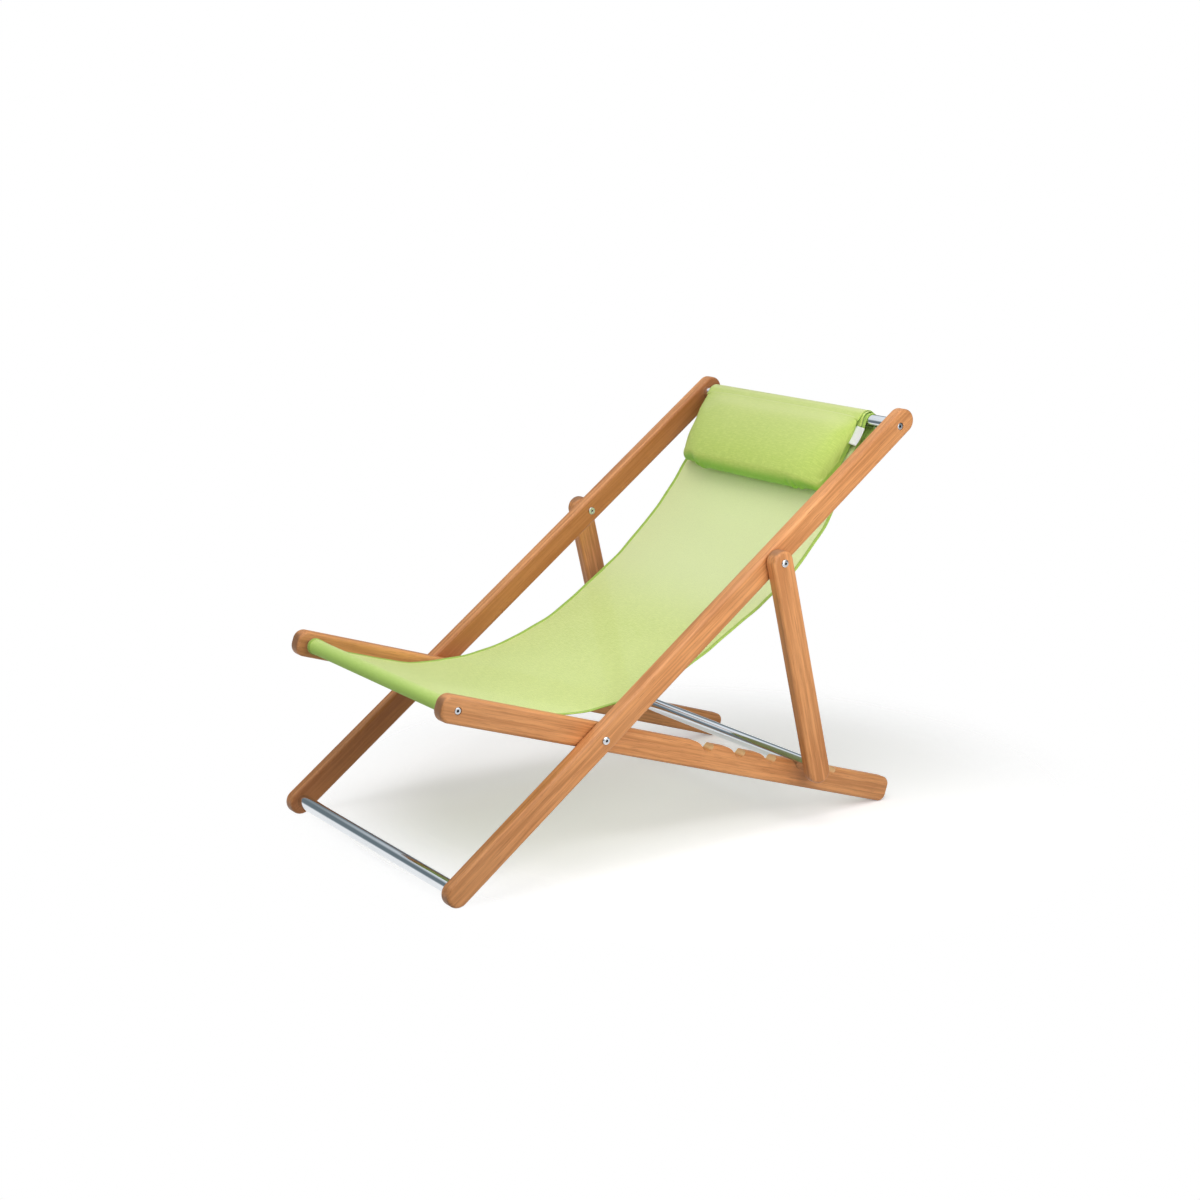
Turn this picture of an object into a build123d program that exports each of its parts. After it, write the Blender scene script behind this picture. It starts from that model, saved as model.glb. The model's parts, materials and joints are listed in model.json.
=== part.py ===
from build123d import *
import os
from math import asin, atan2, cos, hypot, radians, sin, sqrt

# Folding deck chair: two timber frames crossing at a pivot, a propped back, a cloth sling and a
# loose headrest. Millimetres, +Z up, the sitter faces -Y and their left hand is at +X.

# Timber sections
rail_thickness = 24.0
back_rail_width = 41.0
seat_rail_width = 44.0
prop_leg_width = 41.0
edge_bevel = 4.0
inside_width = 454.4
timber_gap = 1.5

# Lengths along the timbers, counted from the main pivot or the prop pivot
foot_reach = 335.0
top_reach = 760.5
foot_tube_setback = 4.0
top_tube_setback = 12.8
prop_pivot_reach = 415.6
front_reach = 294.6
rear_reach = 654.7
front_tube_setback = 29.6
prop_leg_overhang = 4.5
front_corner = 18.0
rear_corner = 14.0

# Lean of the back rails, from the floor
recline = 36.76

# Row of notches in the seat rails, counted from the main pivot to the rear
notch_count = 5
notch_in_use = 4
first_notch = 228.0
notch_pitch = 70.0
notch_lead = 29.0
bar_rise = 20.6
notch_clearance = 0.3

# Steel tubes
tube_diameter = 24.0
tube_wall = 1.5
screwed_socket_depth = 6.0
glued_socket_depth = 14.0
socket_clearance = 0.05

# Screws and threaded plugs that close the top and front tubes
screw_diameter = 6.0
thread_clearance = 0.05
screw_hole_diameter = 6.6
screw_head_diameter = 11.5
screw_head_height = 3.6
screw_recess_depth = 4.0
screw_recess_play = 0.6
screw_grip = 14.0
key_width = 4.0
key_depth = 2.0
plug_length = 20.0

# Sleeve nuts, bolts and washers of the pivots
sleeve_diameter = 9.0
running_clearance = 0.05
sleeve_end_gap = 4.0
bolt_grip = 22.0
pivot_head_diameter = 13.5
bolt_head_height = 3.4
nut_head_height = 2.2
bolt_head_bevel = 1.5
washer_diameter = 22.0
side_play = 0.1

# Cloth sling
sling_side_gap = 5.2
top_loop_inset = 16.0
cloth = 1.6
loop_clearance = 0.4
sling_top_slope = 55.6
sling_back_run = 271.4
sling_back_radius = 752.0
sling_front_slope = 17.6
sling_seat_run = 345.4
sling_seat_radius = 500.0

# Headrest: a stuffed cushion sewn to a flap that hangs over the top tube
cushion_left_end = 188.0
cushion_right_end = -222.0
cushion_start = 10.0
cushion_length = 157.0
cushion_thickness = 50.0
cushion_clearance = 0.7
cushion_seat_start = 48.0
cushion_end_thickness = 0.44
cushion_end_length = 0.93
cushion_toe = 0.10
cushion_brow = 0.14
cushion_brow_height = 0.80
cushion_nose_height = 0.36
cushion_crown = 0.50
cushion_crown_height = 0.84
cushion_neck_inset = 8.0
cushion_stations = 4
cushion_chords = 4
inside_stations = 2
inside_chords = 2
cushion_seam_layers = 5
cover_wall = 1.5
filling_clearance = 0.8
flap_left_end = 194.0
flap_right_end = -230.0
flap_cloth = 2.4
flap_clearance = 0.6
flap_drop = 62.0
weight_diameter = 10.0
weight_end_margin = 14.0
hem_wall = 1.2
hem_clearance = 0.2
label_width = 24.0
label_length = 34.0
label_thickness = 0.8
label_start = 18.0
label_rise = 11.0

# Sizes worked out from the ones above
tube_radius = tube_diameter / 2
sling_width = inside_width - 2 * sling_side_gap
top_loop_width = sling_width - 2 * top_loop_inset
seat_rail_x = (inside_width + rail_thickness) / 2
back_rail_x = seat_rail_x + rail_thickness + timber_gap
prop_leg_x = back_rail_x + rail_thickness + timber_gap
lean = radians(recline)

# The round lower ends of the back rails stand on the floor, and the part is centred over it
pivot_height = back_rail_width / 2 + foot_reach * sin(lean)
pivot_y = -cos(lean) * (top_reach - foot_reach) / 2
corner_drop = seat_rail_width / 2 - rear_corner
corner_reach = rear_reach - rear_corner
corner_angle = atan2(corner_drop, corner_reach)
seat_slope = asin((pivot_height - rear_corner) / hypot(corner_reach, corner_drop)) - corner_angle


def on_back(along, above=0.0):
    """Place (y, z) of a point along the back rails from the main pivot, and above their middle line."""
    y = pivot_y + along * cos(lean) - above * sin(lean)
    z = pivot_height + along * sin(lean) + above * cos(lean)
    return Vector(0, y, z)


def on_seat(along, above=0.0):
    """Place (y, z) of a point along the seat rails, behind the main pivot, and above their middle line."""
    y = pivot_y + along * cos(seat_slope) + above * sin(seat_slope)
    z = pivot_height - along * sin(seat_slope) + above * cos(seat_slope)
    return Vector(0, y, z)


main_pivot = on_back(0)
prop_pivot = on_back(prop_pivot_reach)
top_axis = on_back(top_reach - top_tube_setback)
foot_axis = on_back(foot_tube_setback - foot_reach)
front_axis = on_seat(front_tube_setback - front_reach)
notch_places = [first_notch + notch_pitch * step for step in range(notch_count)]
bar_axis = on_seat(notch_places[notch_in_use - 1], bar_rise)
prop_leg_length = (bar_axis - prop_pivot).length
prop_slope = atan2(bar_axis.Z - prop_pivot.Z, bar_axis.Y - prop_pivot.Y)


def side_plane(x, origin, slope):
    """Side view plane at x, its own x axis running along a timber at the slope in radians."""
    return Plane(origin=(x, origin.Y, origin.Z), x_dir=(0, cos(slope), sin(slope)), z_dir=(1, 0, 0))


def outward(side, x, point):
    """Plane across the chair at the distance x from its middle, facing away from the middle."""
    return Plane(origin=(side * x, point.Y, point.Z), x_dir=(0, 1, 0), z_dir=(side, 0, 0))


def inward(side, x, point):
    """The same plane facing the middle of the chair."""
    return Plane(origin=(side * x, point.Y, point.Z), x_dir=(0, 1, 0), z_dir=(-side, 0, 0))


def cut_bore(seat, radius, depth):
    """Cut a round hole from the seat plane down into the timber behind it."""
    with BuildSketch(seat) as mouth:
        Circle(radius)
    extrude(mouth.sketch, amount=-depth, mode=Mode.SUBTRACT)


def socket_screw(seat, head_diameter, head_height, shank_diameter, shank_length):
    """A bevelled head on the seat plane with a hexagon socket, and a shank that runs down behind it."""
    with BuildPart() as screw:
        with BuildSketch(seat):
            Circle(head_diameter / 2)
        extrude(amount=head_height)
        rim = screw.edges().sort_by(Axis(seat.origin, seat.z_dir))[-1]
        chamfer(rim, bolt_head_bevel)
        with BuildSketch(seat):
            Circle(shank_diameter / 2)
        extrude(amount=-shank_length)
        with BuildSketch(seat.offset(head_height)):
            RegularPolygon(key_width / 2, 6, major_radius=False)
        extrude(amount=-key_depth, mode=Mode.SUBTRACT)
    return screw.part


def sleeve_nut(seat, length):
    """A flat head on the seat plane and a long barrel with a blind threaded bore."""
    with BuildPart() as nut:
        with BuildSketch(seat):
            Circle(pivot_head_diameter / 2)
        extrude(amount=nut_head_height)
        with BuildSketch(seat):
            Circle(sleeve_diameter / 2)
        extrude(amount=-length)
        with BuildSketch(seat.offset(-length)):
            Circle(screw_diameter / 2 + thread_clearance)
        extrude(amount=bolt_grip, mode=Mode.SUBTRACT)
        with BuildSketch(seat.offset(nut_head_height)):
            RegularPolygon(key_width / 2, 6, major_radius=False)
        extrude(amount=-key_depth, mode=Mode.SUBTRACT)
    return nut.part


def washer(seat, thickness):
    """A flat ring round a pivot sleeve, lying on the seat plane."""
    with BuildPart() as ring:
        with BuildSketch(seat):
            Circle(washer_diameter / 2)
            Circle(sleeve_diameter / 2 + running_clearance, mode=Mode.SUBTRACT)
        extrude(amount=thickness)
    return ring.part


def tube_between(axis_point, half_length):
    """A steel tube across the chair, centred on its middle plane."""
    with BuildPart() as tube:
        with BuildSketch(Plane(origin=axis_point, x_dir=(0, 1, 0), z_dir=(1, 0, 0))):
            Circle(tube_radius)
            Circle(tube_radius - tube_wall, mode=Mode.SUBTRACT)
        extrude(amount=half_length, both=True)
    return tube.part


def save(part, name):
    """Label a finished piece and write it to its own file."""
    part.label = name
    export_step(part, f"parts/{name}.step")


os.makedirs("parts", exist_ok=True)
sides = {"left": 1, "right": -1}
half_rail = rail_thickness / 2
socket_radius = tube_radius + socket_clearance
sleeve_hole_radius = sleeve_diameter / 2 + running_clearance
screw_recess_radius = screw_head_diameter / 2 + screw_recess_play

# Back rails: long timbers with round ends, from the front feet to the top tube
for side_name, side in sides.items():
    inner_x = back_rail_x - half_rail
    outer_x = back_rail_x + half_rail
    with BuildPart() as back_rail:
        with BuildSketch(side_plane(side * back_rail_x, main_pivot, lean)):
            with Locations(((top_reach - foot_reach) / 2, 0)):
                SlotCenterToCenter(top_reach + foot_reach, back_rail_width)
        extrude(amount=half_rail, both=True)
        chamfer(back_rail.faces().filter_by(Axis.X).edges(), edge_bevel)
        cut_bore(outward(side, outer_x, main_pivot), sleeve_hole_radius, rail_thickness)
        cut_bore(outward(side, outer_x, prop_pivot), sleeve_hole_radius, rail_thickness)
        cut_bore(inward(side, inner_x, top_axis), socket_radius, screwed_socket_depth)
        cut_bore(outward(side, outer_x, top_axis), screw_hole_diameter / 2, rail_thickness)
        cut_bore(outward(side, outer_x, top_axis), screw_recess_radius, screw_recess_depth)
        cut_bore(inward(side, inner_x, foot_axis), socket_radius, glued_socket_depth)
    save(back_rail.part, f"back_rail_{side_name}")

# One notch: a round pocket for the prop bar, entered over a long rounded shoulder from the front
pocket_radius = tube_radius + notch_clearance
rail_top = seat_rail_width / 2
pocket_drop = rail_top - bar_rise
shoulder_radius = (notch_lead**2 + pocket_drop**2 - pocket_radius**2) / (2 * (pocket_radius + pocket_drop))
shoulder_reach = shoulder_radius + pocket_radius
shoulder_end = (
    -notch_lead * pocket_radius / shoulder_reach,
    bar_rise - (shoulder_radius - pocket_drop) * pocket_radius / shoulder_reach,
)
rear_lip = (sqrt(pocket_radius**2 - pocket_drop**2), rail_top)
with BuildSketch() as notch:
    with BuildLine():
        TangentArc((-notch_lead, rail_top), shoulder_end, tangent=(1, 0))
        ThreePointArc(shoulder_end, (0, bar_rise - pocket_radius), rear_lip)
        Polyline(
            rear_lip,
            (rear_lip[0], rail_top + tube_diameter),
            (-notch_lead, rail_top + tube_diameter),
            (-notch_lead, rail_top),
        )
    make_face()

# Seat rails: they carry the front tube and stand on the floor behind, with the notches on top
for side_name, side in sides.items():
    inner_x = seat_rail_x - half_rail
    outer_x = seat_rail_x + half_rail
    rail_plane = side_plane(side * seat_rail_x, main_pivot, -seat_slope)
    with BuildPart() as seat_rail:
        with BuildSketch(rail_plane) as rail_outline:
            with Locations(((rear_reach - front_reach) / 2, 0)):
                Rectangle(rear_reach + front_reach, seat_rail_width)
            corners = rail_outline.vertices().sort_by(Axis.X)
            fillet(corners[:2], front_corner)
            corners = rail_outline.vertices().sort_by(Axis.X)
            fillet(corners[-2:], rear_corner)
        extrude(amount=half_rail, both=True)
        chamfer(seat_rail.faces().filter_by(Axis.X).edges(), edge_bevel)
        with BuildSketch(rail_plane):
            with Locations(*[(place, 0) for place in notch_places]):
                add(notch.sketch)
        extrude(amount=rail_thickness, both=True, mode=Mode.SUBTRACT)
        cut_bore(outward(side, outer_x, main_pivot), sleeve_hole_radius, rail_thickness)
        cut_bore(inward(side, inner_x, front_axis), socket_radius, screwed_socket_depth)
        cut_bore(outward(side, outer_x, front_axis), screw_hole_diameter / 2, rail_thickness)
        cut_bore(outward(side, outer_x, front_axis), screw_recess_radius, screw_recess_depth)
    save(seat_rail.part, f"seat_rail_{side_name}")

# Prop legs: they hang from the back rails and carry the bar that drops into the notches
for side_name, side in sides.items():
    inner_x = prop_leg_x - half_rail
    outer_x = prop_leg_x + half_rail
    leg_reach = prop_leg_length + prop_leg_overhang
    with BuildPart() as prop_leg:
        with BuildSketch(side_plane(side * prop_leg_x, prop_pivot, prop_slope)):
            with Locations((leg_reach / 2, 0)):
                SlotCenterToCenter(leg_reach, prop_leg_width)
        extrude(amount=half_rail, both=True)
        chamfer(prop_leg.faces().filter_by(Axis.X).edges(), edge_bevel)
        cut_bore(outward(side, outer_x, prop_pivot), sleeve_hole_radius, rail_thickness)
        cut_bore(inward(side, inner_x, bar_axis), socket_radius, glued_socket_depth)
    save(prop_leg.part, f"prop_leg_{side_name}")

# Tubes: each one ends in a socket in the timbers at its two sides
top_tube_half = back_rail_x - half_rail + screwed_socket_depth
front_tube_half = seat_rail_x - half_rail + screwed_socket_depth
foot_tube_half = back_rail_x - half_rail + glued_socket_depth
prop_bar_half = prop_leg_x - half_rail + glued_socket_depth
save(tube_between(top_axis, top_tube_half), "top_tube")
save(tube_between(front_axis, front_tube_half), "front_tube")
save(tube_between(foot_axis, foot_tube_half), "foot_tube")
save(tube_between(bar_axis, prop_bar_half), "prop_bar")

# Threaded plugs in the ends of the top and front tubes, and the screws that hold the timbers to them
screw_length = rail_thickness - screw_recess_depth - screwed_socket_depth + screw_grip
screwed_tubes = {
    "top_tube": (top_axis, top_tube_half, back_rail_x + half_rail),
    "front_tube": (front_axis, front_tube_half, seat_rail_x + half_rail),
}
for tube_name, (axis_point, half_length, outer_x) in screwed_tubes.items():
    with BuildPart() as plugs:
        for side in sides.values():
            with BuildSketch(outward(side, half_length, axis_point)):
                Circle(tube_radius - tube_wall - socket_clearance)
                Circle(screw_diameter / 2 + thread_clearance, mode=Mode.SUBTRACT)
            extrude(amount=-plug_length)
    save(plugs.part, f"{tube_name}_plugs")
    screw_seats = [outward(side, outer_x - screw_recess_depth, axis_point) for side in sides.values()]
    screw_pair = [
        socket_screw(seat, screw_head_diameter, screw_head_height, screw_diameter, screw_length)
        for seat in screw_seats
    ]
    with BuildPart() as screws:
        add(screw_pair)
    save(screws.part, f"{tube_name}_screws")

# Pivots: a sleeve nut from the inner timber's inside face, a bolt from the outer timber's outside face
pivots = {
    "seat_pivot": (main_pivot, seat_rail_x, back_rail_x),
    "prop_pivot": (prop_pivot, back_rail_x, prop_leg_x),
}
for pivot_name, (point, inner_timber_x, outer_timber_x) in pivots.items():
    nut_x = inner_timber_x - half_rail - side_play
    bolt_x = outer_timber_x + half_rail + side_play
    sleeve_length = bolt_x - nut_x - sleeve_end_gap
    washer_x = inner_timber_x + half_rail + side_play
    nut_pair = [sleeve_nut(inward(side, nut_x, point), sleeve_length) for side in sides.values()]
    bolt_pair = [
        socket_screw(
            outward(side, bolt_x, point), pivot_head_diameter, bolt_head_height, screw_diameter, bolt_grip
        )
        for side in sides.values()
    ]
    washer_pair = [
        washer(outward(side, washer_x, point), timber_gap - 2 * side_play) for side in sides.values()
    ]
    with BuildPart() as nuts:
        add(nut_pair)
    save(nuts.part, f"{pivot_name}_nuts")
    with BuildPart() as bolts:
        add(bolt_pair)
    save(bolts.part, f"{pivot_name}_bolts")
    with BuildPart() as washers:
        add(washer_pair)
    save(washers.part, f"{pivot_name}_washers")

# Sling: one sheet that hangs from a loop round the top tube to a loop round the front tube
top_slope = radians(sling_top_slope)
front_slope = radians(sling_front_slope)
loop_bore = tube_radius + loop_clearance
loop_outer = loop_bore + 2 * cloth
loop_middle = loop_bore + cloth
mid_plane = Plane(origin=(0, 0, 0), x_dir=(0, 1, 0), z_dir=(1, 0, 0))
top_point = Vector(top_axis.Y, top_axis.Z)
front_point = Vector(front_axis.Y, front_axis.Z)
down_back = Vector(-cos(top_slope), -sin(top_slope))
down_seat = Vector(cos(front_slope), -sin(front_slope))
with BuildPart() as sling:
    with BuildSketch(mid_plane):
        with BuildLine():
            FilletPolyline(
                top_point + down_back * loop_middle,
                top_point + down_back * sling_back_run,
                front_point + down_seat * sling_seat_run,
                front_point + down_seat * loop_middle,
                radius=[sling_back_radius, sling_seat_radius],
            )
        trace(line_width=cloth)
    extrude(amount=sling_width / 2, both=True)
    with BuildSketch(mid_plane):
        with Locations((top_axis.Y, top_axis.Z)):
            Circle(loop_outer)
    extrude(amount=top_loop_width / 2, both=True)
    with BuildSketch(mid_plane):
        with Locations((front_axis.Y, front_axis.Z)):
            Circle(loop_outer)
    extrude(amount=sling_width / 2, both=True)
    with BuildSketch(mid_plane):
        with Locations((top_axis.Y, top_axis.Z), (front_axis.Y, front_axis.Z)):
            Circle(loop_bore)
    extrude(amount=sling_width, both=True, mode=Mode.SUBTRACT)
save(sling.part, "sling")

# Headrest: worked out in a plane whose x axis runs down the sling from the top tube's axis and
# whose y axis points off the sling towards the sitter
flap_middle = loop_outer + flap_clearance + flap_cloth / 2
cushion_back = cloth / 2 + cushion_clearance


def headrest_plane(x):
    """Side view plane of the headrest at x."""
    down = (0, -cos(top_slope), -sin(top_slope))
    return Plane(origin=(x, top_axis.Y, top_axis.Z), x_dir=down, z_dir=(-1, 0, 0))


def cushion_section(x, thickness, length, inset, chords):
    """Closed outline of the cushion at x: thin where it meets the flap, full and round at the bottom.
    Its two round stretches are arcs taken as a few straight chords."""
    start = cushion_start + cushion_neck_inset * inset
    back = cushion_back + inset
    end = length - cushion_seam_layers * inset
    full = thickness - inset
    neck = flap_middle + flap_cloth / 2 - inset / 2
    throat = flap_middle - flap_cloth / 2 + inset / 2
    toe = (end - cushion_toe * length, back)
    nose = (end, back + cushion_nose_height * (full - back))
    brow = (end - cushion_brow * length, back + cushion_brow_height * (full - back))
    crown = (cushion_crown * length, back + cushion_crown_height * (full - back))
    round_end = ThreePointArc(toe, nose, brow)
    top_face = ThreePointArc(brow, crown, (start, neck))
    outline = [(start, throat), (cushion_seat_start, back)]
    outline += [round_end @ (step / chords) for step in range(chords)]
    outline += [top_face @ (step / chords) for step in range(chords + 1)]
    with BuildSketch(headrest_plane(x)) as section:
        with BuildLine():
            Polyline(*outline, close=True)
        make_face()
    return section.sketch


def cushion_body(inset, stations, chords):
    """The stuffed body: full in the middle, its thickness and length drawn in towards both ends."""
    middle = (cushion_left_end + cushion_right_end) / 2
    half_width = (cushion_left_end - cushion_right_end) / 2 - cushion_seam_layers * inset
    sections = []
    for step in range(-stations, stations + 1):
        across = sin(radians(90 * step / stations))
        fullness = sqrt(1 - across**4)
        thickness = cushion_thickness * (cushion_end_thickness + (1 - cushion_end_thickness) * fullness)
        length = cushion_length * (cushion_end_length + (1 - cushion_end_length) * fullness)
        x = middle + half_width * across
        sections.append(cushion_section(x, thickness, length, inset, chords))
    with BuildPart() as body:
        loft(sections, ruled=True)
    return body.part


cover_outside = cushion_body(0, cushion_stations, cushion_chords)
cover_inside = cushion_body(cover_wall, inside_stations, inside_chords)
with BuildPart() as headrest_cover:
    add(cover_outside)
    add(cover_inside, mode=Mode.SUBTRACT)
save(headrest_cover.part, "headrest_cover")
save(cushion_body(cover_wall + filling_clearance, inside_stations, inside_chords), "headrest_filling")

# Flap: from the cushion's neck over the top tube, then straight down behind it to a hem with a weight
weight_radius = weight_diameter / 2
hem_radius = weight_radius + hem_wall
hem_point = (top_axis.Y + flap_middle, top_axis.Z - flap_drop)
crest_angle = radians(90 + sling_top_slope)
crest = (top_axis.Y + flap_middle * cos(crest_angle), top_axis.Z + flap_middle * sin(crest_angle))
flap_width = flap_left_end - flap_right_end
flap_plane = mid_plane.offset(flap_right_end)
with BuildPart() as headrest_flap:
    with BuildSketch(flap_plane):
        with BuildLine():
            Line(
                (crest[0] + down_back.X * cushion_start, crest[1] + down_back.Y * cushion_start),
                crest,
            )
            ThreePointArc(
                crest,
                (top_axis.Y, top_axis.Z + flap_middle),
                (top_axis.Y + flap_middle, top_axis.Z),
            )
            Line((top_axis.Y + flap_middle, top_axis.Z), hem_point)
        trace(line_width=flap_cloth)
        with Locations(hem_point):
            Circle(hem_radius)
            Circle(weight_radius + hem_clearance, mode=Mode.SUBTRACT)
    extrude(amount=flap_width)
save(headrest_flap.part, "headrest_flap")

with BuildPart() as flap_weight:
    with BuildSketch(flap_plane.offset(weight_end_margin)):
        with Locations(hem_point):
            Circle(weight_radius)
    extrude(amount=flap_width - 2 * weight_end_margin)
save(flap_weight.part, "flap_weight")

# Blank cloth label sewn into the cushion's left end
with BuildPart() as label_tab:
    with BuildSketch(headrest_plane(cushion_left_end)):
        with Locations((label_start + label_length / 2, label_rise)):
            Rectangle(label_length, label_thickness)
    extrude(amount=-label_width)
save(label_tab.part, "label_tab")
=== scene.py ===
import json
import math

import bmesh
import bpy
import numpy as np
from mathutils import Matrix, Vector


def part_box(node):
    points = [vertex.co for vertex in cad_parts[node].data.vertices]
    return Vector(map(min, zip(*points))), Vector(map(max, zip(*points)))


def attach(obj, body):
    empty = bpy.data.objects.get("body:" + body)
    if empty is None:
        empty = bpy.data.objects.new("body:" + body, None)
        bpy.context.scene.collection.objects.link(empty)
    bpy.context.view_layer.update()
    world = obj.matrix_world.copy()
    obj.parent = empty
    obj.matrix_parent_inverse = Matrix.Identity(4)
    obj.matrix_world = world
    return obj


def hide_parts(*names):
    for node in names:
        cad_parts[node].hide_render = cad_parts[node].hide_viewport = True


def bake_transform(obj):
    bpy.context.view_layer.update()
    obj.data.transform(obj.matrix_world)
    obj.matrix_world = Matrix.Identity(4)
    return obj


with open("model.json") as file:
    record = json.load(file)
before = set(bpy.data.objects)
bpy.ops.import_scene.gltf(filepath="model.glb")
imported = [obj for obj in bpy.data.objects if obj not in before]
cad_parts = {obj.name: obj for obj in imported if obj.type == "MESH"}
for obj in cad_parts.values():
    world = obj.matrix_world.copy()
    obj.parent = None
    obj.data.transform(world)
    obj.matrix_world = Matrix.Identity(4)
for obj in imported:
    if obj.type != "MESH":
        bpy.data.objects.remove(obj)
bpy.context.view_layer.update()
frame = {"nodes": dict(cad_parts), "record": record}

# Folding deck chair: oiled hardwood rails, polished tubes, a hung mesh sling and a loose headrest.
# Metres, +Z up, the sitter faces -Y and their left hand is at +X. Side view points are (y, z) pairs.
scene = bpy.context.scene
SIDES = {1: "left", -1: "right"}


def centre(node):
    """Middle of a node's box."""
    low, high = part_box(node)
    return (np.array(low) + np.array(high)) / 2


def unit(vector):
    return np.asarray(vector) / np.linalg.norm(vector)


def square(direction):
    """The side view direction turned a quarter turn, from along a timber to across it."""
    return np.array([-direction[1], direction[0]])


# Places that the frame gives
joint_places = {j["name"]: j.get("pos_m") for j in frame["record"]["behaviour"]["joints"]}
main_pivot = np.array(joint_places["seat_fold"][1:])
prop_pivot = np.array(joint_places["prop_swing"][1:])
top_axis = centre("top_tube")[1:]
foot_axis = centre("foot_tube")[1:]
front_axis = centre("front_tube")[1:]
bar_axis = centre("prop_bar")[1:]
back_along = unit(top_axis - foot_axis)
seat_along = unit(main_pivot - front_axis)
prop_along = unit(bar_axis - prop_pivot)
back_rail_x = centre("back_rail_left")[0]
seat_rail_x = centre("seat_rail_left")[0]
prop_leg_x = centre("prop_leg_left")[0]

# Timber
rail_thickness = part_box("back_rail_left")[1][0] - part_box("back_rail_left")[0][0]
half_rail = rail_thickness / 2
back_half_width = 0.0205
seat_half_width = 0.022
prop_half_width = 0.0205
edge_round = 0.0055
face_margin = 0.0012
timber_smooth = 30
front_reach = 0.2946
rear_reach = 0.6547
front_corner = 0.018
rear_corner = 0.014

# Tubes
tube_radius = 0.012
tube_wall = 0.0015
broken_edge = 0.0004
tube_steps = 96

# Notches in the seat rails
notch_count = 5
notch_in_use = 4
notch_pitch = 0.070
notch_lead = 0.029
notch_clearance = 0.0003

# Screws, bolts and nuts
screw_recess_radius = 0.00635
screw_recess_depth = 0.004
screw_head = dict(head_radius=0.00575, height=0.0036, dome=0.0012, stem_radius=0.003, stem_length=0.028)
bolt_head = dict(head_radius=0.00675, height=0.0034, dome=0.0024, stem_radius=0.003, stem_length=0.022)
nut_head = dict(head_radius=0.00675, height=0.0022, dome=0.0009, stem_radius=0.0045, stem_length=0.044)
head_steps = 48
side_play = 0.0001
key_width = 0.004
key_depth = 0.002

# Cloth
cloth = 0.0008
loop_radius = 0.0132
loop_seam_reach = 0.050
loop_tail = 0.012
sling_top_slope = math.radians(55.6)
sling_front_slope = math.radians(17.6)
sling_back_run = 0.2714
sling_back_radius = 0.752
sling_seat_run = 0.3454
sling_seat_radius = 0.500
sling_half_width = 0.222
sling_hollow = 0.0025
sling_step = 0.004
sling_softness = 0.0022
top_loop_inset = 0.016
hem_width = 0.007
hem_thickness = 0.0024
cloth_smooth = 60
all_smooth = 180

# Headrest
cushion_left_end = 0.193
cushion_right_end = -0.229
flap_left_end = 0.194
flap_right_end = -0.230
flap_middle = 0.0174
flap_cloth = 0.0010
flap_columns = 107
flap_clearance = 0.0001
flap_drop = 0.062
flap_reach = 0.013
flap_billow = 0.005
lining_front = (0.018, 0.0108)
lining_under = 0.0018
lining_drop = 0.030
lining_inset = 0.004
lining_show = 0.005
rear_hem_radius = 0.0062
rear_hem_overlap = 0.004
cushion_length = 0.157
cushion_thickness = 0.050
cushion_seat_start = 0.056
cushion_back = 0.0022
cushion_sink = 0.0008
neck_gap = 0.0008
cushion_neck = flap_middle + neck_gap
cushion_heart = np.array([0.088, 0.022])
neck_reach = 0.006
throat_reach = 0.008
pinned_reach = 0.016
panel_slack = 0.003
panel_bulge = 0.0035
fill_frames = 20
fill_cap = 0.004
fill_easing = 14
seam_inset = 0.006
seam_width = 0.0016
seam_depth = 0.0011
pleats = ((-0.160, 0.9), (-0.142, 0.5), (0.132, -0.9), (0.114, -0.5))
pleat_depth = 0.0055
stitch_reach = 0.0088
stitch_pitch = 0.0034
stitch_half_length = 0.0012
thread_radius = 0.00045
label_start = 0.018
label_length = 0.034
label_rise = 0.011
label_gap = 0.0007
label_tuck = 0.006
label_step = 0.0012
label_curl = 0.0016
label_sag = 0.14
label_thickness = 0.0005

# Colours of the timber
timber_light = (0.83, 0.368, 0.132, 1)
timber_deep = (0.54, 0.208, 0.060, 1)
timber_pore = (0.33, 0.118, 0.034, 1)
timber_patch = (0.84, 0.45, 0.20, 1)
# painted shade for the faces that look towards the middle of the chair
timber_painted_shade = (0.42, 0.13, 0.032, 1)
timber_end = (0.33, 0.150, 0.062, 1)
timber_raw = (0.92, 0.66, 0.36, 1)


# Meshes

def stacked(*parts):
    """Arrays, broadcast against each other, side by side in a new last direction."""
    return np.stack(np.broadcast_arrays(*parts), -1)


def round_angles(steps):
    """Even angles once round a circle."""
    return np.linspace(0, 2 * math.pi, steps, endpoint=False)


def directions(angle):
    """Side view unit vectors at angles in radians."""
    return stacked(np.cos(angle), np.sin(angle))


def distance_along(points, axis=0):
    """Distance along paths of points from their first point."""
    steps = np.linalg.norm(np.diff(points, axis=axis), axis=-1)
    start = np.zeros_like(np.take(steps, [0], axis))
    return np.concatenate([start, np.cumsum(steps, axis)], axis)


def grid_quads(rows, columns, close_rows=False, close_columns=False):
    """Faces of a grid of points numbered row by row; a closed direction joins its end to its start."""
    row = np.arange(rows if close_rows else rows - 1)[:, None]
    column = np.arange(columns if close_columns else columns - 1)[None, :]
    next_row = (row + 1) % rows
    next_column = (column + 1) % columns
    return stacked(
        row * columns + column, row * columns + next_column,
        next_row * columns + next_column, next_row * columns + column,
    ).reshape(-1, 4)


def capped_quads(rings, count):
    """Faces of rings of points, each joined to the next, with the first and last ring closed by a polygon."""
    caps = [list(range(count)), list(range((rings - 1) * count, rings * count))]
    return grid_quads(rings, count, close_columns=True).tolist() + caps


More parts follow.
